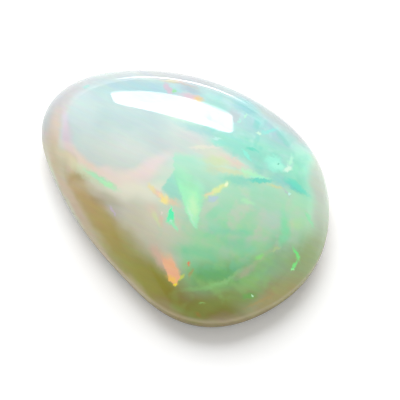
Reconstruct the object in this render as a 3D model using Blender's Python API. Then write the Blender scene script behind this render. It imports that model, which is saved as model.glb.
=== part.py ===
"""A polished freeform opal, one solid stone.

The stone lies on its flat back. Seen from above it is a soft pear shape, with
its blunt end at +X and its narrow tip at -X. Its domed top is rounder on the
far side (+Y) and leans in more on the near side (-Y). The origin is on the
flat back, in the middle of the stone's box. All lengths are in metres.
"""
import bmesh
import bpy
import numpy as np

# Driving dimensions
HEIGHT = 0.0085            # flat back to the top of the dome
GIRDLE_HEIGHT = 0.0019     # flat back to the widest line round the stone
BACK_INSET = 0.0012        # how far the flat back's rim lies inside the widest line
TOP_OFFSET = (0.0005, 0.0003)

# Reach from the middle to the widest line, at sixteen equal turns,
# from the blunt end (+X) anticlockwise seen from above
REACH = (
    0.01200, 0.01135, 0.01060, 0.00940,
    0.00835, 0.00825, 0.00895, 0.01070,
    0.01200, 0.01015, 0.00830, 0.00765,
    0.00790, 0.00930, 0.01140, 0.01205,
)

# Section of the dome: the power that rounds it off, how much the power swings
# towards the leaning side, and how flat the top is before the shoulder turns
DOME_POWER = 0.70
LEAN_SWING = 0.20
LEANING_SIDE = np.radians(290.0)
SHOULDER = 0.30

# Fineness of the surface
ROUND_STEPS = 88
DOME_STEPS = 26
EDGE_STEPS = 7

OPAL_COLOUR = (0.58, 0.78, 0.66, 1.0)
OPAL_ROUGHNESS = 0.06
OPAL_IOR = 1.45


def clear_scene():
    for item in list(bpy.data.objects):
        bpy.data.objects.remove(item, do_unlink=True)


def opal_material():
    material = bpy.data.materials.new("opal")
    material.use_nodes = True
    shader = material.node_tree.nodes["Principled BSDF"]
    shader.inputs["Base Color"].default_value = OPAL_COLOUR
    shader.inputs["Roughness"].default_value = OPAL_ROUGHNESS
    shader.inputs["Metallic"].default_value = 0.0
    shader.inputs["IOR"].default_value = OPAL_IOR
    return material


def widest_reach(turn):
    """Reach at each turn: the smooth sum of cosines that passes through REACH."""
    waves = np.fft.rfft(REACH) / len(REACH)
    middle = len(REACH) // 2
    reach = waves[0].real + waves[middle].real * np.cos(middle * turn)
    for order in range(1, middle):
        wave = waves[order]
        reach += 2.0 * (wave.real * np.cos(order * turn) - wave.imag * np.sin(order * turn))
    return reach


def edge_rings(turn):
    """Rings of the rounded lower edge, from the flat back up to the widest line.
    A quarter of an ellipse: the inset falls with the sine of the climb and the
    height grows with one minus its cosine."""
    reach = widest_reach(turn)
    rings = []
    for climb in np.linspace(0.0, 0.5 * np.pi, EDGE_STEPS + 1):
        near = reach - BACK_INSET * (1.0 - np.sin(climb))
        height = np.full_like(turn, GIRDLE_HEIGHT * (1.0 - np.cos(climb)))
        rings.append(np.stack([near * np.cos(turn), near * np.sin(turn), height], axis=1))
    return rings


def dome_rings(turn):
    """Rings of the dome, from just above the widest line to just below the top.
    The widest line is a sum of waves in the plane. Up the dome each wave shrinks
    as the share of the reach to the power of the wave's own order, so the rings
    grow rounder as they climb. The height is a power of one minus the squared
    share, flattened at the top by a fourth power of it."""
    outline = widest_reach(turn) * np.exp(1j * turn)
    waves = np.fft.fft(outline)
    order = np.abs(np.fft.fftfreq(ROUND_STEPS, 1.0 / ROUND_STEPS))
    offset = complex(*TOP_OFFSET)
    rings = []
    for climb in np.linspace(0.0, 0.5 * np.pi, DOME_STEPS + 1)[1:-1]:
        share = np.cos(climb)
        plan = np.fft.ifft(waves * share ** order) + offset * (1.0 - share ** 2)
        fall = (1.0 - SHOULDER) * share ** 2 + SHOULDER * share ** 4
        power = DOME_POWER + LEAN_SWING * share * np.cos(turn - LEANING_SIDE)
        height = GIRDLE_HEIGHT + (HEIGHT - GIRDLE_HEIGHT) * (1.0 - fall) ** power
        rings.append(np.stack([plan.real, plan.imag, height], axis=1))
    return rings


def top_point(turn):
    outline = widest_reach(turn) * np.exp(1j * turn)
    centre = outline.mean() + complex(*TOP_OFFSET)
    return (centre.real, centre.imag, HEIGHT)


def make_stone():
    turn = np.linspace(0.0, 2.0 * np.pi, ROUND_STEPS, endpoint=False)
    shape = bmesh.new()
    rings = [[shape.verts.new(point) for point in ring] for ring in edge_rings(turn) + dome_rings(turn)]
    for lower, upper in zip(rings, rings[1:]):
        for here in range(ROUND_STEPS):
            after = (here + 1) % ROUND_STEPS
            shape.faces.new((lower[here], lower[after], upper[after], upper[here]))
    back = shape.verts.new((0.0, 0.0, 0.0))
    top = shape.verts.new(top_point(turn))
    for here in range(ROUND_STEPS):
        after = (here + 1) % ROUND_STEPS
        shape.faces.new((rings[0][after], rings[0][here], back))
        shape.faces.new((rings[-1][here], rings[-1][after], top))
    mesh = bpy.data.meshes.new("opal_stone")
    shape.to_mesh(mesh)
    shape.free()
    mesh.shade_smooth()
    mesh.materials.append(opal_material())
    stone = bpy.data.objects.new("opal_stone", mesh)
    bpy.context.scene.collection.objects.link(stone)
    return stone


clear_scene()
make_stone()
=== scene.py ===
import bpy
import numpy as np
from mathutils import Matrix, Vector


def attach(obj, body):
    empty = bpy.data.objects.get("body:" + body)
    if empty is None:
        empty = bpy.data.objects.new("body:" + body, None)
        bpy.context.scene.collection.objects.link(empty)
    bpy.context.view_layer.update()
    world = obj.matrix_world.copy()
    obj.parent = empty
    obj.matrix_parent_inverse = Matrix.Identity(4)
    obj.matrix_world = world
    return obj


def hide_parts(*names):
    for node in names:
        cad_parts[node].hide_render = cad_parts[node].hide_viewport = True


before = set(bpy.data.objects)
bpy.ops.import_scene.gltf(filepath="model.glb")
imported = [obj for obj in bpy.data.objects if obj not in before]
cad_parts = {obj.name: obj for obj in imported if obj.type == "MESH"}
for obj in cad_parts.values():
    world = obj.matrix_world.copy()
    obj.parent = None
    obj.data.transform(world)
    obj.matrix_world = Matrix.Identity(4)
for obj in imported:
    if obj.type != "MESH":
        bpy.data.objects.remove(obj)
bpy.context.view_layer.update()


# The opal
# One piece of precious opal, ground to a soft pear shape and polished all
# over, with a high dome and a flat back. It lies on the back, held by nothing.

# Sizes in metres. The girdle is the stone's widest line. Its reach from the middle,
# every 22.5 degrees, was fitted to the photograph's outline and rounded to 0.05 mm.
# DOME_POWER sets how full the dome is, LEAN_SWING how much that changes round the
# stone, and SHOULDER how broad its top is.
STONE_HEIGHT = 0.0085
GIRDLE_HEIGHT = 0.0019
BACK_INSET = 0.0012
TOP_OFFSET = complex(0.0005, 0.0003)
GIRDLE_REACH = (
    0.01200, 0.01135, 0.01060, 0.00940,
    0.00835, 0.00825, 0.00895, 0.01070,
    0.01200, 0.01015, 0.00830, 0.00765,
    0.00790, 0.00930, 0.01140, 0.01205,
)
DOME_POWER = 0.70
LEAN_SWING = 0.20
LEANING_SIDE = np.radians(290.0)
SHOULDER = 0.30

ROUND_STEPS = 288
DOME_STEPS = 130
EDGE_STEPS = 22

# The wheel leaves a faint unevenness: its depth, and for each of its waves the
# length, the way it runs and where it starts. It is sunk towards a point low in
# the stone, at this share of its height.
POLISH_DEPTH = 0.00003
SINK_HEIGHT = 0.3
POLISH_WAVES = (
    (0.0072, (0.8, 0.5, 0.3), 0.4),
    (0.0058, (-0.5, 0.8, 0.4), 1.9),
    (0.0091, (0.2, -0.6, 0.9), 3.3),
)


def girdle_reach(turn):
    """Reach at each turn: the sum of cosines that passes through GIRDLE_REACH."""
    waves = np.fft.rfft(GIRDLE_REACH) / len(GIRDLE_REACH)
    order = np.arange(len(waves))
    weight = np.where((order == 0) | (order == order[-1]), 1.0, 2.0)
    cosines = np.cos(np.outer(turn, order)) @ (weight * waves.real)
    sines = np.sin(np.outer(turn, order)) @ (weight * waves.imag)
    return cosines - sines


def stone_surface(turn, edge_climb, dome_climb):
    """Grid of points, ring by ring. The lower edge is a quarter of an ellipse:
    inset by 1 - sin(climb), raised by 1 - cos(climb). On the dome each wave of
    the girdle shrinks as share ** order, with share = cos(climb), and the height
    is (1 - fall) ** power, with fall between share ** 2 and share ** 4."""
    reach = girdle_reach(turn)
    outline = reach * np.exp(1j * turn)
    inset = BACK_INSET * (1.0 - np.sin(edge_climb))[:, None]
    edge_plan = outline * (1.0 - inset / reach)
    edge_height = GIRDLE_HEIGHT * (1.0 - np.cos(edge_climb))[:, None]
    edge_height = edge_height + np.zeros_like(reach)

    share = np.cos(dome_climb)[:, None]
    order = np.abs(np.fft.fftfreq(len(turn), 1.0 / len(turn)))
    dome_plan = np.fft.ifft(np.fft.fft(outline) * share ** order)
    dome_plan = dome_plan + TOP_OFFSET * (1.0 - share ** 2)
    fall = (1.0 - SHOULDER) * share ** 2 + SHOULDER * share ** 4
    power = DOME_POWER + LEAN_SWING * share * np.cos(turn - LEANING_SIDE)
    dome_height = GIRDLE_HEIGHT + (STONE_HEIGHT - GIRDLE_HEIGHT) * (1.0 - fall) ** power

    plan = np.concatenate([edge_plan, dome_plan])
    height = np.concatenate([edge_height, dome_height])
    return np.stack([plan.real, plan.imag, height], axis=-1)


def polish_unevenness(points):
    """Depth from 0 to POLISH_DEPTH below the ideal surface: the mean of three
    plane waves, faded in over the height of the girdle so that the back is flat."""
    depth = np.zeros(points.shape[:-1])
    for length, way, start in POLISH_WAVES:
        way = np.array(way) / np.linalg.norm(way)
        depth += 0.5 + 0.5 * np.sin(2.0 * np.pi * points @ way / length + start)
    fade = np.clip(points[..., 2] / GIRDLE_HEIGHT, 0.0, 1.0)
    return POLISH_DEPTH * fade * depth / len(POLISH_WAVES)


def closed_rings(name, points, bottom, top):
    """Mesh of stacked rings, closed by a fan at each end, with faces outwards."""
    rings, steps = points.shape[:2]
    here = np.arange(steps)
    after = (here + 1) % steps
    rows = np.arange(rings - 1)[:, None] * steps
    walls = np.stack([rows + here, rows + after, rows + steps + after, rows + steps + here], axis=-1)
    last = (rings - 1) * steps
    low_fan = np.stack([after, here, np.full(steps, rings * steps)], axis=-1)
    high_fan = np.stack([last + here, last + after, np.full(steps, rings * steps + 1)], axis=-1)
    corners = np.concatenate([points.reshape(-1, 3), [bottom], [top]])
    faces = walls.reshape(-1, 4).tolist() + low_fan.tolist() + high_fan.tolist()
    mesh = bpy.data.meshes.new(name)
    mesh.from_pydata(corners.tolist(), [], faces)
    mesh.shade_smooth()
    return mesh


def make_stone():
    """The stone's surface, sunk by the unevenness, with how far each point is
    turned towards the front kept as an attribute: the cosine of the angle."""
    turn = np.linspace(0.0, 2.0 * np.pi, ROUND_STEPS, endpoint=False)
    edge_climb = np.linspace(0.0, 0.5 * np.pi, EDGE_STEPS + 1)
    dome_climb = np.linspace(0.0, 0.5 * np.pi, DOME_STEPS + 1)[1:-1]
    points = stone_surface(turn, edge_climb, dome_climb)
    middle = points[-1].mean(axis=0)
    middle[2] = STONE_HEIGHT
    inward = middle * (1.0, 1.0, SINK_HEIGHT) - points
    inward /= np.linalg.norm(inward, axis=-1, keepdims=True)
    points = points + inward * polish_unevenness(points)[..., None]
    middle[2] -= polish_unevenness(middle[None])[0]
    mesh = closed_rings("opal_stone_polished", points, (0.0, 0.0, 0.0), middle)
    facing = np.zeros(len(mesh.vertices) * 3)
    mesh.vertex_normals.foreach_get("vector", facing)
    facing = facing.reshape(-1, 3) @ np.array(FACE_WAY)
    mesh.attributes.new("facing", "FLOAT", "POINT").data.foreach_set("value", facing)
    stone = bpy.data.objects.new("opal_stone_polished", mesh)
    bpy.context.scene.collection.objects.link(stone)
    return stone


def add_node(tree, kind, inputs=(), **settings):
    """One node, with its settings, and a value or a link for each input."""
    made = tree.nodes.new(kind)
    for name, value in settings.items():
        setattr(made, name, value)
    for name, value in dict(inputs).items():
        if isinstance(value, bpy.types.NodeSocket):
            tree.links.new(value, made.inputs[name])
        else:
            made.inputs[name].default_value = value
    return made


def worked(tree, operation, *values):
    """Result of one sum on numbers or links."""
    return add_node(tree, "ShaderNodeMath", enumerate(values), operation=operation).outputs[0]


def worked_vector(tree, operation, *values):
    """Result of one sum on vectors or links. A length or a dot product is a number."""
    made = add_node(tree, "ShaderNodeVectorMath", enumerate(values), operation=operation)
    return made.outputs["Value" if operation in ("DOT_PRODUCT", "LENGTH") else "Vector"]


def ramped(tree, value, ends, top=1.0):
    """Smooth climb from 0 to top as the value goes from one end to the other."""
    return add_node(tree, "ShaderNodeMapRange", {
        "Value": value, "From Min": ends[0], "From Max": ends[1], "To Min": 0.0, "To Max": top},
        interpolation_type="SMOOTHSTEP").outputs["Result"]


def colour_ramp(tree, value, stops):
    """Colour that runs straight from stop to stop, each given as (value, colour)."""
    ramp = add_node(tree, "ShaderNodeValToRGB", {"Fac": value})
    for number, (at, colour) in enumerate(stops):
        stop = ramp.color_ramp.elements[number] if number < 2 else ramp.color_ramp.elements.new(at)
        stop.position = at
        stop.color = colour
    return ramp.outputs["Color"]


def colour_mix(tree, under, over, share, blend="MIX"):
    """The under colour, with a share of the over colour blended into it."""
    mixed = add_node(tree, "ShaderNodeMix", data_type="RGBA", blend_type=blend)
    for index, value in ((0, share), (6, under), (7, over)):
        if isinstance(value, bpy.types.NodeSocket):
            tree.links.new(value, mixed.inputs[index])
        else:
            mixed.inputs[index].default_value = value
    return mixed.outputs[2]


def noise(tree, place, scale, detail, roughness=0.5):
    """A noise with about scale lumps to the millimetre."""
    return add_node(tree, "ShaderNodeTexNoise", {
        "Vector": place, "Scale": scale, "Detail": detail, "Roughness": roughness}).outputs


# The front is the side that the photograph shows. Light that reaches it, by the
# height on it in mm, as a middle value, a slope and a bend, after a render of a
# plain grey stone. The gloss lays a white veil over the colour, and the stone's
# own colour stays between the darkest and the brightest share.
LIGHT_MIDDLE = 0.82
LIGHT_SLOPE = 0.056
LIGHT_BEND = 0.0034
GLOSS_VEIL = 0.03
DARKEST = 0.01
BRIGHTEST = 0.97


def linear(colour):
    """Share of light for each of the three 0-255 values of a colour on screen."""
    share = np.array(colour) / 255.0
    return np.where(share < 0.04045, share / 12.92, ((share + 0.055) / 1.055) ** 2.4)


def own_colour(seen, up_mm, glow=0.0):
    """The stone's own colour: the seen one less the white veil of its gloss, over
    the light at that height and any painted glow. One too bright for a surface keeps its hue."""
    light = LIGHT_MIDDLE + LIGHT_SLOPE * up_mm + LIGHT_BEND * up_mm ** 2 + glow
    own = np.maximum((linear(seen) - GLOSS_VEIL) / light, DARKEST)
    return (*own * min(1.0, BRIGHTEST / own.max()), 1.0)


# The markings are laid out on a flat plane, as the front shows them, and run from
# there straight through the stone. FACE_WAY points out of the plane, to where the
# photograph was taken from, and ACROSS_WAY and UP_WAY lie in it.
METRES_TO_MM = (1000.0, 1000.0, 1000.0)
ACROSS_WAY = (0.7716, 0.6361, 0.0)
UP_WAY = (-0.5273, 0.6397, 0.5593)
FACE_WAY = (0.3557, -0.4315, 0.8290)

# How the place is stirred for the washes and for the flashes: lumps to the mm,
# detail and reach in mm
WASH_STIR = (0.40, 1.5, 1.3)
FLASH_STIR = (2.8, 5.0, 0.55)
STIR_ROUGHNESS = 0.6

# A narrowing patch keeps at least this share of its width. After every so many
# patches the last one pushes the place of the next ones aside a little, in mm.
NARROWEST = 0.08
PATCHES_IN_STEP = 20
SIDE_PUSH = (0.02, 0.02, 0.0)

# Each patch below has its name, its place (across, up), half length and half
# width in mm, its turn in degrees, how far it narrows towards its far end, how
# soft its edge is, its strength, and how it looks in the photograph's light.
BODY_COLOUR = (198, 222, 204)

WASHES = (
    ("milky cap", -4.7, 5.6, 4.9, 3.6, -15, 0.0, 0.35, 1.0, (208, 232, 230)),
    ("pale side of the cap", -7.0, 4.9, 2.6, 1.3, 100, 0.0, 0.8, 0.8, (222, 240, 238)),
    ("greener foot of the cap", -3.8, 3.2, 3.2, 1.4, -8, 0.0, 0.8, 0.9, (224, 234, 225)),
    ("sky under the upper rim", -1.3, 8.0, 4.6, 1.0, -8, 0.0, 0.7, 0.9, (188, 228, 236)),
    ("lilac tip", -7.7, 8.0, 1.6, 0.6, 38, 0.0, 0.8, 0.7, (222, 222, 226)),
    ("pale centre, right", 4.6, -0.9, 3.6, 1.9, -10, 0.0, 0.8, 0.95, (166, 218, 184)),
    ("right green", 8.7, -1.2, 2.2, 1.5, 82, 0.0, 0.8, 0.9, (172, 224, 184)),
    ("straw right of the pool", 5.4, -1.6, 1.2, 0.6, 0, 0.0, 0.8, 0.6, (198, 216, 182)),
    ("green heart", 2.9, -3.5, 3.6, 2.3, -8, 0.0, 0.6, 0.95, (158, 212, 164)),
    ("grey green, right", 7.3, -4.1, 1.8, 1.2, 40, 0.0, 0.8, 0.8, (140, 176, 132)),
    ("deep green foot", 2.7, -5.3, 3.2, 1.2, 6, 0.0, 0.7, 1.0, (122, 168, 112)),
    ("aqua shoulder", 5.1, 5.4, 4.6, 2.3, -35, 0.0, 0.5, 1.0, (190, 230, 228)),
    ("lilac blue in the shoulder", 6.6, 4.5, 1.8, 0.8, -40, 0.0, 0.8, 0.8, (180, 214, 222)),
    ("mint shoulder", 6.9, 2.7, 2.8, 1.3, -32, 0.0, 0.6, 0.95, (166, 230, 208)),
    ("mint by the right rim", 9.1, 1.7, 1.9, 1.1, -75, 0.0, 0.8, 0.85, (162, 240, 206)),
    ("rosy grey rim, upper right", 8.1, 5.6, 3.6, 0.5, -50, 0.0, 0.7, 0.85, (196, 204, 206)),
    ("pale centre top", 1.0, 4.1, 2.6, 0.9, -15, 0.0, 0.8, 0.8, (214, 224, 222)),
    ("green under the crescent", 5.4, 0.9, 2.4, 0.7, -14, 0.0, 0.8, 0.7, (166, 228, 194)),
    ("grey green slope", -3.8, -0.3, 2.6, 1.2, -40, 0.0, 0.8, 1.0, (208, 210, 194)),
    ("grey lilac slope", -2.2, -2.4, 2.8, 1.2, -55, 0.0, 0.8, 1.0, (196, 192, 170)),
    ("grey middle", -0.9, -1.3, 1.8, 1.2, -60, 0.0, 0.9, 0.8, (212, 212, 190)),
    ("rosy grey by the flash", -1.8, -0.4, 0.7, 0.5, -50, 0.0, 0.9, 0.7, (224, 208, 188)),
    # The honey and olive washes down the lower left flank are partly the stone's own colour and partly
    # painted shade: the warmer, darker look of its shaded side.
    ("honey flank, upper", -6.6, 0.6, 3.2, 1.0, -58, 0.0, 0.7, 1.0, (184, 160, 112)),
    ("honey flank, middle", -4.8, -2.5, 3.2, 1.1, -51, 0.0, 0.75, 1.0, (164, 146, 86)),
    ("olive flank", -1.9, -5.7, 3.6, 1.4, -45, 0.0, 0.65, 1.0, (138, 134, 66)),
    ("olive foot", 1.9, -7.7, 3.8, 1.3, -8, 0.0, 0.7, 1.0, (128, 118, 68)),
    ("green in the olive foot", 4.0, -6.8, 3.2, 0.8, 14, 0.0, 0.8, 0.8, (132, 148, 84)),
    ("mustard foot, right", 8.8, -4.9, 4.0, 1.15, 56, 0.0, 0.7, 0.95, (142, 160, 112)),
    ("mustard foot, low right", 6.8, -7.0, 2.2, 0.9, 32, 0.0, 0.7, 0.9, (156, 144, 98)),
    ("mustard rim, low", 3.4, -8.6, 4.6, 0.5, 8, 0.0, 0.7, 0.9, (146, 136, 104)),
    ("mustard rim, low left", -0.5, -7.9, 1.6, 0.5, -40, 0.0, 0.7, 0.8, (146, 132, 94)),
    ("pale rim, right", 10.2, 1.1, 3.4, 0.65, 90, 0.0, 0.7, 0.9, (192, 202, 186)),
    # The beige edges and the light rims at the left and at the tip are partly the stone's colour and partly
    # a painted reflection of the white table.
    ("beige edge, left", -7.6, 0.1, 3.4, 0.45, -62, 0.0, 0.6, 0.9, (196, 176, 150)),
    ("beige edge, lower left", -4.9, -4.45, 3.8, 0.4, -46, 0.0, 0.7, 0.8, (180, 160, 134)),
    ("grey rim at the tip", -8.5, 7.0, 2.2, 0.6, 58, 0.0, 0.7, 0.9, (226, 222, 216)),
    ("peach rim, left", -9.1, 5.2, 1.7, 0.6, 85, 0.0, 0.7, 0.9, (238, 218, 198)),
    ("straw rim, left", -9.1, 3.4, 1.5, 0.6, -75, 0.0, 0.7, 0.9, (212, 196, 160)),
    ("rose line in the rim", -8.0, 4.8, 1.7, 0.3, -85, 0.0, 0.8, 0.8, (238, 216, 230)),
    ("straw knee", -7.4, 2.7, 1.5, 0.36, -42, 0.0, 0.8, 0.9, (234, 220, 182)),
    ("honey under the dash", -5.9, 1.0, 1.5, 0.5, -42, 0.0, 0.8, 0.9, (160, 146, 98)),
    ("bright knee", -6.1, 2.35, 1.0, 0.36, -40, 0.0, 0.8, 0.7, (250, 240, 224)),
    ("grey on the upper slope", -4.6, -0.3, 0.9, 0.5, -48, 0.0, 0.9, 0.7, (194, 192, 182)),
    ("peach knee", -6.4, 2.8, 2.1, 0.32, -38, 0.0, 0.9, 0.8, (246, 222, 206)),
    ("pale green under the arc", -3.4, 0.9, 2.6, 0.6, -5, 0.0, 0.8, 0.9, (238, 236, 216)),
    ("grey under the dash", -5.3, 0.7, 1.1, 0.36, -33, 0.0, 0.9, 0.6, (190, 187, 164)),
    ("rose arc, left end", -4.8, 2.15, 1.0, 0.4, -14, 0.0, 0.8, 0.7, (252, 232, 222)),
    ("rose arc under the cap", -3.4, 1.7, 2.1, 0.45, 8, 0.0, 0.9, 0.8, (248, 231, 219)),
    ("rose arc, right end", -1.7, 2.5, 1.4, 0.5, 40, 0.0, 0.9, 0.7, (248, 226, 226)),
    # The grey strip at the upper rim is painted shade along the far edge.
    ("grey strip at the upper rim", 0.2, 9.1, 5.4, 0.42, -12, 0.0, 0.6, 0.8, (204, 206, 212)),
)

# Clouded patches: lumps to the mm, and the patch that they keep to
MOTTLE_RANGE = (0.46, 0.66)
MOTTLE_DETAIL = 2.5
MOTTLE_ROUGHNESS = 0.55
MOTTLES = (
    (0.55, ("teal mottles", 2.8, -3.0, 4.2, 2.3, -8, 0.0, 0.5, 0.45, (124, 210, 172))),
    (0.45, ("leaf mottles", 3.4, -5.4, 4.2, 2.2, 8, 0.0, 0.5, 0.5, (150, 196, 120))),
    (0.70, ("rosy mottles", 4.6, -1.2, 4.0, 2.6, -8, 0.0, 0.5, 0.6, (204, 210, 194))),
    (0.60, ("aqua mottles", 5.6, 4.6, 4.4, 2.4, -35, 0.0, 0.5, 0.6, (136, 226, 210))),
    (0.90, ("pale mottles", 6.0, 4.0, 4.0, 2.0, -35, 0.0, 0.5, 0.4, (200, 240, 238))),
)

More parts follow.
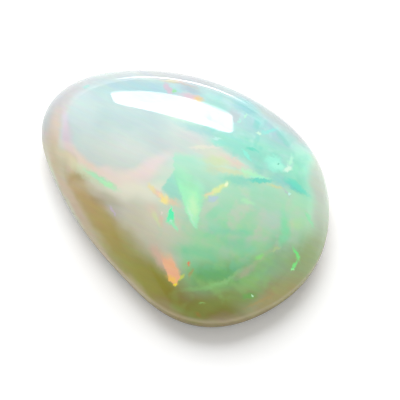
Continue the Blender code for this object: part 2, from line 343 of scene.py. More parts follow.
FLASHES = (
    ("straw streak", 2.7, 0.75, 0.95, 0.18, 33, -0.2, 0.6, 0.95, (228, 242, 174)),
    ("peach in the streak", 2.1, 0.5, 0.35, 0.12, 20, 0.0, 0.6, 0.7, (236, 224, 182)),
    ("blue under the streak", 2.5, 0.2, 0.35, 0.22, 10, 0.4, 0.5, 0.65, (186, 208, 230)),
    ("teal right of the streak", 4.2, 1.45, 1.1, 0.35, -8, 0.0, 0.7, 0.8, (148, 220, 198)),
    ("peach in the yellow flash", -1.35, 0.6, 0.42, 0.2, -40, 0.0, 0.7, 0.9, (247, 212, 190)),
    ("cream head of the flash", -1.8, 0.95, 0.4, 0.16, -45, 0.0, 0.6, 0.9, (242, 230, 176)),
    ("peach foot of the flash", -0.4, 0.0, 0.5, 0.22, -20, 0.0, 0.8, 0.7, (234, 208, 176)),
    ("straw streak by the wedge", -1.5, -1.2, 0.55, 0.15, -62, 0.0, 0.8, 0.7, (214, 224, 174)),
    ("rose by the wedge", -1.2, -1.3, 0.35, 0.12, -80, 0.0, 0.8, 0.6, (226, 200, 178)),
    ("white dot by the wedge", -1.1, -0.8, 0.1, 0.07, 60, 0.0, 0.5, 0.9, (246, 240, 226)),
    ("rose by the orange flash", -1.35, -3.9, 0.9, 0.3, -58, 0.0, 0.9, 0.75, (226, 188, 170)),
    ("red speck, lower", 0.85, -5.0, 0.3, 0.09, 72, 0.0, 0.8, 0.6, (196, 142, 96)),
    ("mint round the dash", -6.2, 1.9, 1.4, 0.36, -36, 0.0, 0.8, 0.8, (216, 232, 198)),
    ("dash on the knee", -5.4, 1.6, 1.3, 0.2, -32, -0.35, 0.5, 0.95, (188, 242, 200)),
    ("straw line at the upper rim", -0.3, 8.65, 0.7, 0.12, -6, 0.0, 0.6, 0.8, (242, 236, 200)),
    ("rosy line at the upper rim", 0.8, 8.35, 0.8, 0.11, -18, 0.0, 0.6, 0.7, (232, 212, 208)),
    ("pink at the upper rim", -0.6, 8.1, 0.45, 0.22, -60, 0.0, 0.5, 0.8, (236, 206, 226)),
    ("green dot at the upper rim", -0.15, 7.9, 0.16, 0.14, 0, 0.0, 0.7, 0.9, (176, 244, 176)),
    ("grey blue at the upper rim", 1.1, 7.95, 0.8, 0.24, -20, 0.0, 0.8, 0.7, (194, 208, 218)),
    ("pink by the shine", 1.0, 7.45, 0.75, 0.22, -14, 0.0, 0.8, 0.85, (244, 212, 222)),
    ("orange by the shine", 1.6, 7.3, 0.34, 0.16, -10, 0.0, 0.7, 0.85, (255, 222, 156)),
    ("mint by the shine", 2.9, 6.8, 1.0, 0.3, -28, 0.0, 0.8, 0.7, (182, 232, 222)),
    ("rosy grey by the shine", 4.1, 6.0, 0.5, 0.4, -40, 0.0, 0.7, 0.8, (206, 216, 222)),
    ("aqua patch", 5.0, 6.7, 1.0, 0.45, -35, 0.0, 0.6, 0.8, (166, 226, 228)),
    ("white dot", 4.9, 6.0, 0.14, 0.1, 60, 0.0, 0.5, 0.9, (198, 255, 226)),
    ("white dot, left", 4.45, 5.65, 0.16, 0.1, 50, 0.0, 0.5, 0.8, (190, 250, 236)),
    ("aqua streak, high", 6.6, 4.9, 0.6, 0.13, 14, 0.2, 0.6, 0.9, (164, 242, 232)),
    ("white dot in the streak", 5.8, 4.75, 0.2, 0.1, -5, 0.0, 0.4, 0.9, (216, 255, 232)),
    ("cyan under the shine", 1.4, 5.1, 1.3, 0.3, -20, 0.0, 0.7, 0.7, (178, 224, 226)),
    ("pink over the middle", 1.1, 4.5, 0.9, 0.35, -20, 0.0, 0.8, 0.35, (226, 216, 222)),
    ("mint under the white dash", 3.0, 4.1, 0.65, 0.25, -10, 0.0, 0.8, 0.8, (160, 240, 222)),
    ("white dash", 2.85, 4.4, 0.32, 0.07, -8, 0.0, 0.5, 0.9, (218, 252, 248)),
    ("pale line", 1.9, 3.8, 1.0, 0.13, 0, 0.0, 0.5, 0.8, (238, 238, 226)),
    ("mint slope", 4.4, 3.75, 1.9, 0.6, -32, 0.0, 0.6, 0.85, (158, 232, 212)),
    ("cream wedge", 3.2, 3.0, 1.8, 0.4, -26, 0.5, 0.6, 0.7, (226, 228, 206)),
    ("rose in the wedge", 3.9, 2.85, 0.9, 0.2, -25, 0.3, 0.7, 0.6, (238, 218, 208)),
    ("leaf green in the wedge", 2.7, 2.8, 0.8, 0.3, -10, 0.0, 0.7, 0.7, (216, 233, 182)),
    ("salmon in the wedge", 4.1, 2.5, 0.38, 0.18, -10, 0.0, 0.8, 0.5, (238, 216, 200)),
    ("straw foot of the wedge", 3.6, 2.1, 1.2, 0.18, -12, 0.0, 0.7, 0.75, (220, 228, 186)),
    ("grey end of the sheet", 2.5, 2.2, 0.5, 0.3, -10, 0.0, 0.9, 0.5, (204, 222, 190)),
    ("teal crescent", 5.8, 1.4, 0.8, 0.17, -3, 0.0, 0.5, 0.9, (118, 220, 200)),
    ("light lip of the crescent", 5.8, 1.62, 0.7, 0.06, -3, 0.0, 0.5, 0.8, (170, 246, 214)),
    ("blue right of the crescent", 7.2, 1.4, 0.7, 0.3, -30, 0.0, 0.8, 0.7, (150, 218, 208)),
    ("aqua splinter", 4.9, 3.2, 0.5, 0.12, -56, 0.0, 0.4, 0.9, (156, 244, 224)),
    ("aqua splinter, right", 5.3, 3.6, 0.4, 0.1, -20, 0.0, 0.4, 0.7, (118, 224, 200)),
    ("blue under the teal streak", 8.2, 0.95, 0.7, 0.2, -40, 0.0, 0.7, 0.8, (112, 208, 200)),
    ("teal streak", 8.5, 0.9, 0.95, 0.2, -38, 0.3, 0.6, 0.9, (124, 228, 202)),
    ("straw line", 6.9, 0.95, 0.5, 0.09, -16, 0.0, 0.7, 0.75, (212, 222, 168)),
    ("grey line", 7.6, 0.55, 0.4, 0.06, -52, 0.0, 0.5, 0.8, (190, 206, 206)),
    ("pale dash", 4.85, -0.05, 0.45, 0.16, -25, 0.0, 0.5, 0.9, (190, 242, 198)),
    ("teal band", 3.4, -2.1, 1.3, 0.22, -6, 0.0, 0.9, 0.55, (126, 210, 178)),
    ("mint edge of the spear pool", 2.4, -1.6, 0.8, 0.3, -40, 0.0, 0.8, 0.6, (162, 220, 186)),
    ("lilac patch, right", 6.6, -1.3, 1.0, 0.5, 0, 0.0, 0.8, 0.6, (188, 212, 200)),
    ("mint upright", 7.5, -1.8, 0.95, 0.28, -84, 0.0, 0.8, 0.85, (150, 238, 186)),
    ("mint upright, foot", 7.3, -2.7, 0.5, 0.25, 70, 0.0, 0.8, 0.7, (146, 226, 176)),
    ("straw patch", 8.3, -1.7, 0.5, 0.35, 0, 0.0, 0.9, 0.5, (196, 234, 176)),
    ("green streak by the rim", 9.3, -1.4, 0.55, 0.12, -60, 0.0, 0.7, 0.85, (150, 232, 178)),
    ("jade patch", 1.3, -3.5, 1.4, 0.4, -8, 0.0, 0.8, 0.7, (132, 206, 158)),
    ("jade patch, right", 3.9, -2.95, 1.0, 0.45, -10, 0.0, 0.8, 0.6, (134, 206, 166)),
    ("rosy streak", 5.5, -4.2, 1.4, 0.15, 38, 0.0, 0.9, 0.5, (176, 190, 150)),
    ("straw dash", 6.8, -3.4, 0.35, 0.1, 20, 0.0, 0.5, 0.8, (178, 202, 150)),
    ("deep green over the arc", 2.6, -5.1, 1.5, 0.4, -4, 0.0, 0.8, 0.7, (106, 174, 114)),
    ("light arc, left", 1.2, -6.1, 0.9, 0.14, 4, 0.0, 0.9, 0.45, (142, 188, 122)),
    ("light arc, middle", 2.6, -5.8, 0.9, 0.15, 18, 0.0, 0.9, 0.5, (150, 200, 134)),
    ("light arc, right", 3.8, -5.2, 0.8, 0.15, 36, 0.0, 0.9, 0.55, (160, 200, 142)),
    ("pinkish patch", 4.6, -5.0, 0.6, 0.25, 30, 0.0, 0.9, 0.7, (176, 178, 150)),
    ("green cluster", 4.9, -6.65, 0.45, 0.2, 0, 0.0, 0.6, 0.8, (116, 172, 98)),
    ("low dash", 1.6, -7.1, 0.2, 0.08, 0, 0.0, 0.7, 0.6, (150, 196, 116)),
    ("rust speck, foot", 1.3, -7.9, 0.25, 0.12, -40, 0.0, 0.8, 0.5, (160, 122, 72)),
    ("orange dashes, low", 5.6, -7.1, 0.9, 0.12, 22, 0.0, 0.8, 0.5, (172, 148, 96)),
    ("violet speck", -4.6, -0.6, 0.4, 0.08, -55, 0.0, 0.6, 0.6, (200, 184, 214)),
    ("aqua speck", -6.6, 8.4, 0.25, 0.14, 10, 0.0, 0.6, 0.7, (170, 240, 226)),
)

# Flashes with straight sides, where a layer breaks off: the strength, how it looks
# in the light, and each corner (across, up), anticlockwise, with how soft the side
# after it is
FACETS = (
    ("sheet over the spear", 0.85, (176, 229, 203), (
        (-0.27, 3.35, 0.07), (-0.25, 1.6, 0.3), (0.6, 0.3, 0.4),
        (1.9, -0.1, 0.45), (3.0, 1.2, 1.0), (1.7, 3.2, 0.3))),
    ("aqua wing of the spear", 0.85, (158, 224, 204), (
        (-0.27, 2.1, 0.12), (-1.1, 0.95, 0.25), (-0.6, 0.2, 0.35), (0.4, 0.0, 0.3), (0.4, 1.7, 0.4))),
    ("pale triangle", 0.9, (186, 252, 208), ((4.55, 2.35, 0.12), (4.5, 1.75, 0.12), (6.5, 1.5, 0.12))),
    ("mint shard", 0.9, (170, 248, 224), (
        (6.0, 2.95, 0.2), (6.6, 2.0, 0.2), (7.6, 2.05, 0.2), (7.35, 2.95, 0.2), (6.6, 3.2, 0.2))),
)

# Glints return more light than a white surface would, so they are given a little
# painted glow, though the stone is no lamp. The two widest have straight sides.
PAINTED_GLINT_GLOW = 0.30
BRIGHT_FACETS = (
    ("spear", 0.95, (168, 246, 196), (
        (-0.15, 1.7, 0.14), (0.85, -1.5, 0.06), (1.3, -1.9, 0.07), (1.62, -0.6, 0.45), (1.72, 1.0, 0.8))),
    ("orange flash", 0.95, (238, 180, 142), (
        (-1.2, -3.8, 0.12), (-0.65, -5.55, 0.08), (-0.2, -5.8, 0.08),
        (0.15, -5.2, 0.18), (-0.45, -3.8, 0.6))),
)
GLINTS = (
    ("peach specks of the flash", -1.2, 0.45, 0.3, 0.13, -50, 0.0, 0.7, 0.8, (250, 222, 196)),
    ("yellow flash", -0.95, 0.2, 0.36, 0.22, -45, 0.0, 0.7, 0.9, (254, 234, 150)),
    ("bright pool of the spear", 0.7, 0.9, 1.3, 0.5, -64, 0.0, 0.9, 0.7, (174, 246, 198)),
    ("pale middle of the spear", 1.1, -0.4, 0.8, 0.3, -84, 0.3, 0.8, 0.8, (208, 254, 200)),
    ("white edge of the spear", 0.88, -0.9, 0.7, 0.09, -72, 0.0, 0.8, 0.7, (208, 254, 216)),
    ("white end of the streak", 3.35, 1.2, 0.16, 0.1, 50, 0.0, 0.5, 0.9, (246, 254, 214)),
    ("neon wedge", -0.5, -0.9, 0.6, 0.24, 88, 0.75, 0.35, 1.0, (110, 248, 186)),
    ("neon tail", -0.3, -1.6, 0.5, 0.14, -60, 0.3, 0.5, 0.9, (160, 240, 188)),
    ("white dot in the wedge", -0.5, -1.35, 0.12, 0.06, 20, 0.0, 0.6, 0.8, (206, 255, 224)),
    ("bright end of the dash", -4.98, 1.27, 0.5, 0.15, -30, 0.0, 0.6, 0.85, (188, 248, 194)),
    ("orange foot of the flash", -0.5, -5.4, 0.36, 0.18, -30, 0.0, 0.7, 0.85, (242, 196, 96)),
    ("yellow point of the flash", -0.25, -5.75, 0.14, 0.08, -20, 0.0, 0.5, 1.0, (248, 222, 76)),
    ("straw edge of the flash", 0.2, -5.25, 0.28, 0.12, 50, 0.0, 0.6, 0.9, (204, 210, 104)),
    ("red speck", 0.7, -4.3, 0.17, 0.1, 80, 0.0, 0.6, 0.9, (232, 128, 84)),
    ("white blob", 7.8, 2.2, 0.3, 0.17, 20, 0.0, 0.7, 0.95, (232, 255, 236)),
    ("white arm of the blob", 8.05, 2.75, 0.4, 0.13, 65, 0.0, 0.7, 0.8, (196, 252, 222)),
    ("core of the shard", 7.1, 2.4, 0.5, 0.22, -20, 0.0, 0.8, 0.7, (190, 252, 230)),
    ("dark dot on the shard", 7.1, 2.55, 0.09, 0.07, 0, 0.0, 0.5, 0.7, (96, 196, 160)),
    ("white dot by the line", 7.8, 0.45, 0.1, 0.1, 0, 0.0, 0.5, 1.0, (200, 250, 236)),
    ("leaf streak", 5.65, -3.9, 0.34, 0.13, 24, 0.0, 0.8, 0.8, (142, 222, 128)),
    ("neon hook", 8.3, -3.8, 0.5, 0.11, -66, 0.0, 0.7, 0.85, (116, 236, 132)),
    ("neon hook, foot", 8.15, -4.6, 0.4, 0.1, 55, 0.0, 0.7, 0.85, (116, 230, 128)),
    ("bright dot of the hook", 8.0, -4.85, 0.11, 0.09, 0, 0.0, 0.5, 1.0, (160, 255, 160)),
    ("white dot in the cluster", 5.15, -6.65, 0.08, 0.07, 0, 0.0, 0.5, 1.0, (216, 255, 220)),
)

# Painted shade: towards the upper rim, where the surface turns away from the
# front, the colour is made greyer. From and to which facing, from and to which
# height on the face in mm, and the height whose light the colour is for
UPPER_RIM_FACING = (0.60, 0.36)
UPPER_RIM_UP = (3.0, 6.0)
UPPER_RIM_SHADE_GREY = (206, 212, 216)
UPPER_RIM_LIT_AT = 9.0
UPPER_RIM_SHARE = 0.75

# The sides behind the front are a guess: milk above and honey below, the honey
# partly the body's colour and partly a painted warm shade of the lower part, with
# patches of colour where the layers happen to line up. FACE_FROM is the facing over
# which the front takes over from them, and WAVERING is how unevenly it does.
MILK_COLOUR = (204, 214, 212)
HONEY_COLOUR = (176, 162, 126)
HONEY_BELOW = (0.5, 4.5)
LAYER_COLOURS = ((0.0, (204, 216, 212)), (0.35, (176, 214, 200)), (0.5, (150, 206, 186)),
                 (0.62, (196, 214, 184)), (0.75, (214, 204, 200)), (1.0, (188, 214, 218)))
LAYERS_SHARE = 0.7
LUMP_SCALE = 0.9
LUMP_DETAIL = 3.0
LUMP_PUSH = (1.6, 1.6, 1.6)
LAYER_SCALE = 0.42
LAYER_SMOOTHNESS = 0.6
SIDES_LIT_AT = 6.5
WAVERING = 0.5
FACE_FROM = (0.12, 0.42)

# Bands round the lower edge, painted light: a pale line of painted table reflection
# where the dome meets the edge, and a darker band of painted shade below it. For each,
# from and to which height in mm, and the colour
EDGE_SHINE_AND_SHADE_BANDS = ((1.65, 2.0, (172, 162, 134)), (-0.5, 1.45, (138, 124, 94)))
EDGE_SOFTNESS = 0.12
EDGE_SHARE = 0.5
EDGE_LIT_AT = -6.0

# Silky grain along the layers: its turn in degrees, and how long and wide it is
GRAIN_TURN = -25.0
GRAIN_SIZE = (1.6, 0.35, 1.0)
GRAIN_DETAIL = 5.0
GRAIN_ROUGHNESS = 0.6
GRAIN_SHARE = 0.25

# A polish that isn't quite even
POLISH_SCALE = 1.2
POLISH_DETAIL = 4.0
POLISH_RANGE = (0.3, 0.7)
ROUGHNESS = (0.03, 0.07)
OPAL_IOR = 1.45


def stirred(tree, place, solid, scale, detail, reach):
    """The flat place, pushed about by up to half of reach with a solid noise."""
    push = noise(tree, solid, scale, detail, STIR_ROUGHNESS)["Color"]
    push = worked_vector(tree, "SUBTRACT", push, (0.5, 0.5, 0.5))
    return worked_vector(tree, "MULTIPLY_ADD", push, (reach, reach, 0.0), place)


def patch_share(tree, place, patch):
    """Share from 0 outside a patch to its strength inside: the distance from its
    middle, in half lengths along it and half widths across it, past a soft edge."""
    name, across, up, half_length, half_width, turn, narrowing, softness, strength, seen = patch
    inside = add_node(tree, "ShaderNodeMapping", {
        "Vector": place, "Location": (across, up, 0.0), "Rotation": (0.0, 0.0, np.radians(turn)),
        "Scale": (half_length, half_width, 1.0)}, vector_type="TEXTURE", label=name).outputs[0]
    if narrowing:
        parts = add_node(tree, "ShaderNodeSeparateXYZ", {"Vector": inside}).outputs
        width = worked(tree, "MULTIPLY_ADD", parts["X"], -narrowing, 1.0)
        width = worked(tree, "MAXIMUM", width, NARROWEST)
        beside = worked(tree, "DIVIDE", parts["Y"], width)
        inside = add_node(tree, "ShaderNodeCombineXYZ", {"X": parts["X"], "Y": beside}).outputs[0]
    distance = worked_vector(tree, "LENGTH", inside)
    return ramped(tree, distance, (1.0 + softness, 1.0 - softness), strength)


def with_patches(tree, colour, place, patches, glow=0.0):
    """The colour, with each patch in turn laid over it, and the share they cover."""
    covered = 0.0
    for number, patch in enumerate(patches):
        share = patch_share(tree, place, patch)
        covered = worked(tree, "MAXIMUM", share, covered)
        colour = colour_mix(tree, colour, own_colour(patch[-1], patch[2], glow), share)
        if number % PATCHES_IN_STEP == PATCHES_IN_STEP - 1:
            place = worked_vector(tree, "MULTIPLY_ADD", share, SIDE_PUSH, place)
    return colour, covered


def facet_share(tree, place, corners, strength):
    """Share inside a flash with straight sides: a soft step over the distance in
    from each side, all of them multiplied. The corners run anticlockwise."""
    share = strength
    for (across, up, softness), (next_across, next_up, _) in zip(corners, corners[1:] + corners[:1]):
        inward = np.array((up - next_up, next_across - across))
        inward /= np.linalg.norm(inward)
        level = across * inward[0] + up * inward[1]
        reach = worked_vector(tree, "DOT_PRODUCT", place, (*inward, 0.0))
        inside = ramped(tree, reach, (level - softness, level + softness))
        share = worked(tree, "MULTIPLY", inside, share)
    return share


def with_facets(tree, colour, place, facets, glow=0.0):
    """The colour, with each facet in turn laid over it, and the share they cover."""
    covered = 0.0
    for _, strength, seen, corners in facets:
        share = facet_share(tree, place, corners, strength)
        covered = worked(tree, "MAXIMUM", covered, share)
        middle_up = np.mean(corners, axis=0)[1]
        colour = colour_mix(tree, colour, own_colour(seen, middle_up, glow), share)
    return colour, covered


def opal_material():
    """Polished opal: body, washes, mottles, flashes and glints on the front, milk
    and honey behind it, painted shade at the upper rim, painted reflection and shade
    in bands round the lower edge, and a grain over all."""
    material = bpy.data.materials.new("opal")
    material.use_nodes = True
    tree = material.node_tree
    shader = tree.nodes["Principled BSDF"]
    metres = add_node(tree, "ShaderNodeTexCoord").outputs["Object"]
    solid = worked_vector(tree, "MULTIPLY", metres, METRES_TO_MM)
    across = worked_vector(tree, "DOT_PRODUCT", solid, ACROSS_WAY)
    up = worked_vector(tree, "DOT_PRODUCT", solid, UP_WAY)
    height = add_node(tree, "ShaderNodeSeparateXYZ", {"Vector": solid}).outputs["Z"]
    facing = add_node(tree, "ShaderNodeAttribute", attribute_name="facing",
                      attribute_type="GEOMETRY").outputs["Fac"]
    place = add_node(tree, "ShaderNodeCombineXYZ", {"X": across, "Y": up}).outputs[0]

    # Milky body, the washes of colour in it, and the mottles
    cloudy = stirred(tree, place, solid, *WASH_STIR)
    colour = with_patches(tree, own_colour(BODY_COLOUR, 0.0), cloudy, WASHES)[0]
    for scale, patch in MOTTLES:
        spots = noise(tree, cloudy, scale, MOTTLE_DETAIL, MOTTLE_ROUGHNESS)["Fac"]
        share = worked(tree, "MULTIPLY", ramped(tree, spots, MOTTLE_RANGE), patch_share(tree, cloudy, patch))
        colour = colour_mix(tree, colour, own_colour(patch[-1], patch[2]), share)

    # Painted shade: the upper rim made greyer where it turns away from the front
    share = worked(tree, "MULTIPLY", ramped(tree, facing, UPPER_RIM_FACING, UPPER_RIM_SHARE),
                   ramped(tree, up, UPPER_RIM_UP))
    colour = colour_mix(tree, colour, own_colour(UPPER_RIM_SHADE_GREY, UPPER_RIM_LIT_AT), share)

    # Flashes and glints, with a ragged edge
    ragged = stirred(tree, place, solid, *FLASH_STIR)
    colour = with_facets(tree, colour, ragged, FACETS)[0]
    colour = with_patches(tree, colour, ragged, FLASHES)[0]
    colour, wide_glint = with_facets(tree, colour, ragged, BRIGHT_FACETS, PAINTED_GLINT_GLOW)
    colour, small_glint = with_patches(tree, colour, ragged, GLINTS, PAINTED_GLINT_GLOW)
    glint = worked(tree, "MAXIMUM", wide_glint, small_glint)

    # The sides behind the front
    # Honey below and milk above: the honey partly the body's colour, partly painted warm shade
    away = colour_mix(tree, own_colour(HONEY_COLOUR, SIDES_LIT_AT), own_colour(MILK_COLOUR, SIDES_LIT_AT),
                      ramped(tree, height, HONEY_BELOW))
    lumps = noise(tree, solid, LUMP_SCALE, LUMP_DETAIL)["Color"]
    bent = worked_vector(tree, "MULTIPLY_ADD", lumps, LUMP_PUSH, solid)
    cells = add_node(tree, "ShaderNodeTexVoronoi", {
        "Vector": bent, "Scale": LAYER_SCALE, "Smoothness": LAYER_SMOOTHNESS},
        feature="SMOOTH_F1").outputs["Color"]
    kind = add_node(tree, "ShaderNodeSeparateColor", {"Color": cells}).outputs
    layers = [(at, own_colour(seen, SIDES_LIT_AT)) for at, seen in LAYER_COLOURS]
    layers = colour_ramp(tree, kind["Red"], layers)
    away = colour_mix(tree, away, layers, ramped(tree, kind["Green"], (0.0, 1.0), LAYERS_SHARE))
    waver = add_node(tree, "ShaderNodeSeparateColor", {"Color": lumps}).outputs["Blue"]
    on_face = ramped(tree, worked(tree, "MULTIPLY_ADD", waver, WAVERING, facing), FACE_FROM)
    colour = colour_mix(tree, away, colour, on_face)
    glint = worked(tree, "MULTIPLY", glint, on_face)

    # Painted light round the lower edge: a pale line of painted reflection where the
    # dome meets it, and a darker band of painted shade below it
    for low, high, seen in EDGE_SHINE_AND_SHADE_BANDS:
        middle = 0.5 * (low + high)
        half = 0.5 * (high - low)
        off = worked(tree, "ABSOLUTE", worked(tree, "SUBTRACT", height, middle))
        share = ramped(tree, off, (half + EDGE_SOFTNESS, half - EDGE_SOFTNESS), EDGE_SHARE)
        colour = colour_mix(tree, colour, own_colour(seen, EDGE_LIT_AT), share)

    # The grain and the polish
    grain_place = add_node(tree, "ShaderNodeMapping", {
        "Vector": place, "Rotation": (0.0, 0.0, np.radians(GRAIN_TURN)), "Scale": GRAIN_SIZE},
        vector_type="TEXTURE").outputs[0]
    grain = noise(tree, grain_place, 1.0, GRAIN_DETAIL, GRAIN_ROUGHNESS)["Color"]
    colour = colour_mix(tree, colour, grain, GRAIN_SHARE, "SOFT_LIGHT")
    polish = noise(tree, solid, POLISH_SCALE, POLISH_DETAIL)["Fac"]
    rough = add_node(tree, "ShaderNodeMapRange", {
        "Value": polish, "From Min": POLISH_RANGE[0], "From Max": POLISH_RANGE[1],
        "To Min": ROUGHNESS[0], "To Max": ROUGHNESS[1]}).outputs["Result"]

    tree.links.new(colour, shader.inputs["Base Color"])
    # The glints' painted glow: emission in their own colour, where they cover
    tree.links.new(colour_mix(tree, (0.0, 0.0, 0.0, 1.0), colour, glint), shader.inputs["Emission Color"])
    shader.inputs["Emission Strength"].default_value = PAINTED_GLINT_GLOW
    tree.links.new(rough, shader.inputs["Roughness"])
    shader.inputs["IOR"].default_value = OPAL_IOR
    return material


stone = make_stone()
stone.data.materials.append(opal_material())
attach(stone, "root")
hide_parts("opal_stone")


# The table
# A plain white table top, 1.2 m square, with the stone lying on its middle. It
# glows faintly for the camera, so that it comes out a clean white.

TABLE_HALF = 0.6
TABLE_COLOUR = (0.95, 0.95, 0.95, 1.0)
TABLE_ROUGHNESS = 0.9
TABLE_GLOW = 0.17


def table_material():
    """Matt white paint, with the glow of its own for the camera's rays alone."""
    material = bpy.data.materials.new("table_white")
    material.use_nodes = True
    shader = material.node_tree.nodes["Principled BSDF"]
    shader.inputs["Base Color"].default_value = TABLE_COLOUR
    shader.inputs["Roughness"].default_value = TABLE_ROUGHNESS
    shader.inputs["Specular IOR Level"].default_value = 0.0
    shader.inputs["Emission Color"].default_value = (1.0, 1.0, 1.0, 1.0)
    looked_at = add_node(material.node_tree, "ShaderNodeLightPath").outputs["Is Camera Ray"]
    glow = worked(material.node_tree, "MULTIPLY", looked_at, TABLE_GLOW)
    material.node_tree.links.new(glow, shader.inputs["Emission Strength"])
    return material


table_mesh = bpy.data.meshes.new("white_table")
table_corners = [(-TABLE_HALF, -TABLE_HALF, 0.0), (TABLE_HALF, -TABLE_HALF, 0.0),
                 (TABLE_HALF, TABLE_HALF, 0.0), (-TABLE_HALF, TABLE_HALF, 0.0)]
table_mesh.from_pydata(table_corners, [], [(0, 1, 2, 3)])
table_mesh.materials.append(table_material())
table = bpy.data.objects.new("white_table", table_mesh)
bpy.context.scene.collection.objects.link(table)


# The camera
# A long lens about 17 cm from the stone, in front of it and looking down onto the
# dome. It aims a little right of the stone's middle and below it.

# The turn, the lens and the aim come from the same fit as the stone's outline
VIEW_TURN = np.radians(39.5)
VIEW_TILT = np.radians(56.0)
VIEW_DISTANCE = 0.170
LENS_MM = 211.8
SENSOR_MM = 36.0
VIEW_TARGET = np.array([0.0, 0.0, 0.0034])
AIM_RIGHT = 0.0016
AIM_DOWN = 0.00186

back = np.array([
    np.sin(VIEW_TURN) * np.cos(VIEW_TILT),
    -np.cos(VIEW_TURN) * np.cos(VIEW_TILT),
    np.sin(VIEW_TILT),
])
right = np.array([np.cos(VIEW_TURN), np.sin(VIEW_TURN), 0.0])
up = np.cross(back, right)

camera_data = bpy.data.cameras.new("camera")
camera_data.lens = LENS_MM
camera_data.sensor_width = SENSOR_MM
camera_data.clip_start = 0.01
camera_data.clip_end = 5.0
camera = bpy.data.objects.new("camera", camera_data)
eye = VIEW_TARGET + back * VIEW_DISTANCE
aim = VIEW_TARGET + right * AIM_RIGHT - up * AIM_DOWN
camera.location = eye
camera.rotation_euler = Vector(aim - eye).to_track_quat("-Z", "Y").to_euler()
bpy.context.scene.collection.objects.link(camera)
bpy.context.scene.camera = camera


# The light
# A broad lamp behind and above the stone lights it, in a pale room. A soft panel
# low behind it and a thin strip along the table's back show only in its gloss.

SQUARENESS = 8.0
RIM_STEPS = 64
PANEL_DISTANCE = 0.30
PANEL_CORNERS = ((153.0, 11.0), (108.0, 22.0), (101.0, 41.0), (160.0, 23.0))
PANEL_BOWS = (0.18, 0.33)
PANEL_STRENGTH = 20.0
PANEL_MIDDLE = (0.0, 0.0, 0.006)
PANEL_FADE_UP = ((0.0, 0.05), (0.25, 0.60), (0.86, 0.56), (0.93, 1.0), (1.0, 1.0))
PANEL_FADE_ALONG = ((0.0, 0.72), (0.6, 0.78), (0.8, 1.0), (1.0, 1.0))
STRIP_TURN = 126.0
STRIP_DISTANCE = 0.050
STRIP_SIZE = (0.040, 0.0018)
STRIP_HEIGHT = 0.0012
STRIP_STRENGTH = 12.0
STRIP_FADE_UP = ((0.0, 1.0), (1.0, 1.0))
STRIP_FADE_ALONG = ((0.0, 0.0), (0.3, 1.0), (0.75, 1.0), (1.0, 0.1))
LAMP_TURN = 136.0
LAMP_CLIMB = 40.0
LAMP_DISTANCE = 0.50
LAMP_WIDTH = 0.75
LAMP_WATTS = 4.6
ROOM_STRENGTH = 0.43


def direction(turn_deg, climb_deg):
    """Unit arrow at a turn round the stone and a climb above the table."""
    turn, climb = np.radians(turn_deg), np.radians(climb_deg)
    return np.array([np.cos(turn) * np.cos(climb), np.sin(turn) * np.cos(climb), np.sin(climb)])


def glowing_material(name, strength, fade_up, fade_along):
    """Glow that follows two lists of stops, one up the sheet and one along it."""
    material = bpy.data.materials.new(name)
    material.use_nodes = True
    tree = material.node_tree
    tree.nodes.clear()
    parts = add_node(tree, "ShaderNodeSeparateXYZ", {
        "Vector": add_node(tree, "ShaderNodeUVMap", uv_map="sheet").outputs[0]}).outputs
    for part, stops in (("Y", fade_up), ("X", fade_along)):
        fade = colour_ramp(tree, parts[part], [(at, (share, share, share, 1.0)) for at, share in stops])
        strength = worked(tree, "MULTIPLY", fade, strength)
    glow = add_node(tree, "ShaderNodeEmission", {"Strength": strength})
    out = add_node(tree, "ShaderNodeOutputMaterial")
    tree.links.new(glow.outputs[0], out.inputs["Surface"])
    return material


def gloss_only(name, rim, rim_uv, strength, fade_up, fade_along):
    """A flat glowing sheet that lights nothing and shows only in reflections."""
    mesh = bpy.data.meshes.new(name)
    mesh.from_pydata(rim.tolist(), [], [tuple(range(len(rim)))])
    mesh.uv_layers.new(name="sheet").data.foreach_set("uv", np.ravel(rim_uv))
    mesh.materials.append(glowing_material(name, strength, fade_up, fade_along))
    sheet = bpy.data.objects.new(name, mesh)
    sheet.visible_camera = False
    sheet.visible_diffuse = False
    sheet.visible_transmission = False
    sheet.visible_shadow = False
    bpy.context.scene.collection.objects.link(sheet)
    return sheet


def rounded_square():
    """Rim of a unit square with round corners, a superellipse: |x| ** n + |y| ** n
    is 1, with n = SQUARENESS."""
    turn = np.linspace(0.0, 2.0 * np.pi, RIM_STEPS, endpoint=False)
    size = np.abs(np.cos(turn)) ** SQUARENESS + np.abs(np.sin(turn)) ** SQUARENESS
    size = size ** (-1.0 / SQUARENESS)
    return np.stack([0.5 + 0.5 * size * np.cos(turn), 0.5 + 0.5 * size * np.sin(turn)], axis=-1)


def stretched(square, corners, bows=(0.0, 0.0)):
    """The square, stretched between four corners. The low and the high edge each
    bow outwards as a parabola, by their own share of the sheet's height."""
    across, high = square[:, :1], square[:, 1:]
    climb = 0.5 * (corners[3] - corners[0] + corners[2] - corners[1])
    arch = 4.0 * across * (1.0 - across) * climb
    low_edge = corners[0] + across * (corners[1] - corners[0]) + bows[0] * arch
    high_edge = corners[3] + across * (corners[2] - corners[3]) + bows[1] * arch
    return low_edge + high * (high_edge - low_edge)


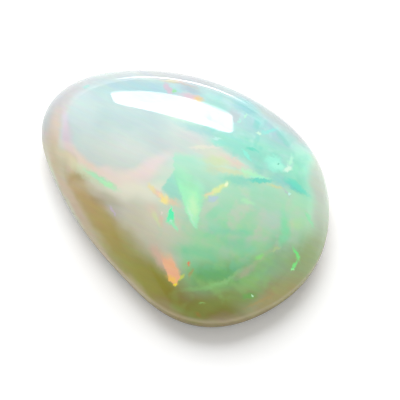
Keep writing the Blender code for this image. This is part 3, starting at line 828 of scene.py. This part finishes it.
panel_rays = np.array([direction(*corner) for corner in PANEL_CORNERS])
panel_axis = panel_rays.mean(axis=0) / np.linalg.norm(panel_rays.mean(axis=0))
panel_corners = panel_rays * (PANEL_DISTANCE / (panel_rays @ panel_axis))[:, None] + np.array(PANEL_MIDDLE)
sheet_square = rounded_square()
gloss_only("soft_panel", stretched(sheet_square, panel_corners, PANEL_BOWS), sheet_square,
           PANEL_STRENGTH, PANEL_FADE_UP, PANEL_FADE_ALONG)

strip_middle = direction(STRIP_TURN, 0.0) * STRIP_DISTANCE + np.array([0.0, 0.0, STRIP_HEIGHT])
strip_along = -direction(STRIP_TURN + 90.0, 0.0) * STRIP_SIZE[0] * 0.5
strip_up = np.array([0.0, 0.0, STRIP_SIZE[1] * 0.5])
strip_corners = np.array([strip_middle - strip_along - strip_up, strip_middle + strip_along - strip_up,
                          strip_middle + strip_along + strip_up, strip_middle - strip_along + strip_up])
gloss_only("table_strip", stretched(sheet_square, strip_corners), sheet_square,
           STRIP_STRENGTH, STRIP_FADE_UP, STRIP_FADE_ALONG)

lamp_data = bpy.data.lights.new("broad_lamp", "AREA")
lamp_data.shape = "DISK"
lamp_data.size = LAMP_WIDTH
lamp_data.energy = LAMP_WATTS
lamp = bpy.data.objects.new("broad_lamp", lamp_data)
lamp_place = direction(LAMP_TURN, LAMP_CLIMB)
lamp.location = lamp_place * LAMP_DISTANCE
lamp.rotation_euler = Vector(lamp_place).to_track_quat("Z", "Y").to_euler()
lamp.visible_camera = False
lamp.visible_glossy = False
bpy.context.scene.collection.objects.link(lamp)

world = bpy.data.worlds.new("pale_room")
bpy.context.scene.world = world
world.use_nodes = True
room = world.node_tree
room.nodes.clear()
looked_at = add_node(room, "ShaderNodeBackground", {"Color": (1.0, 1.0, 1.0, 1.0), "Strength": 1.0})
lit = add_node(room, "ShaderNodeBackground", {"Color": (1.0, 1.0, 1.0, 1.0), "Strength": ROOM_STRENGTH})
rays = add_node(room, "ShaderNodeLightPath")
both = add_node(room, "ShaderNodeMixShader", {"Fac": rays.outputs["Is Camera Ray"]})
room.links.new(lit.outputs[0], both.inputs[1])
room.links.new(looked_at.outputs[0], both.inputs[2])
out = add_node(room, "ShaderNodeOutputWorld")
room.links.new(both.outputs[0], out.inputs["Surface"])

bpy.context.scene.view_settings.view_transform = "Standard"
